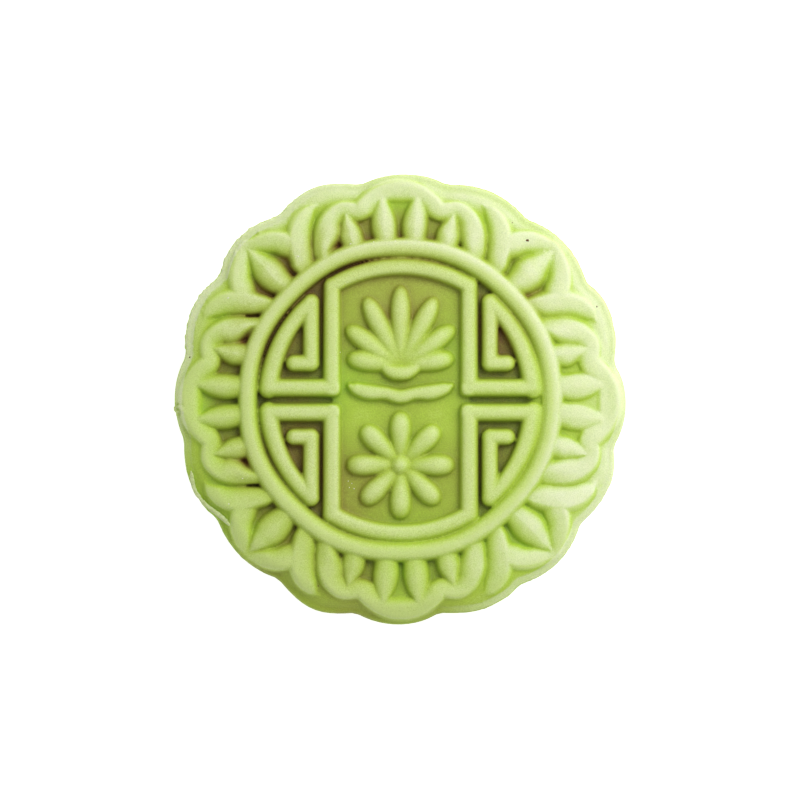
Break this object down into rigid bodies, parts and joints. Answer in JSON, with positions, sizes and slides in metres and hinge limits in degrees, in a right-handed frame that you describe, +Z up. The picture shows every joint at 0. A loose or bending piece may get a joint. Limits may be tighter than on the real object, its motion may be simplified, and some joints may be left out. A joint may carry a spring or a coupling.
{
  "type": "mooncake",
  "caption": "Round pressed mooncake of pale green dough, with a lobed side and a moulded top: corner frets and a flower panel in a round frame, inside a border of leaves and arches.",
  "frame": {"origin": "centre of the flat base", "axes": "+Z up out of the moulded top, +Y towards the blossom at the panel's upper end, +X to the panel's right"},
  "size_m": [0.078, 0.078, 0.03],
  "materials": {
    "dough": "soft matte rice dough, faintly floury"
  },
  "bodies": {
    "root": {"mooncake": "dough"}
  },
  "joints": []
}
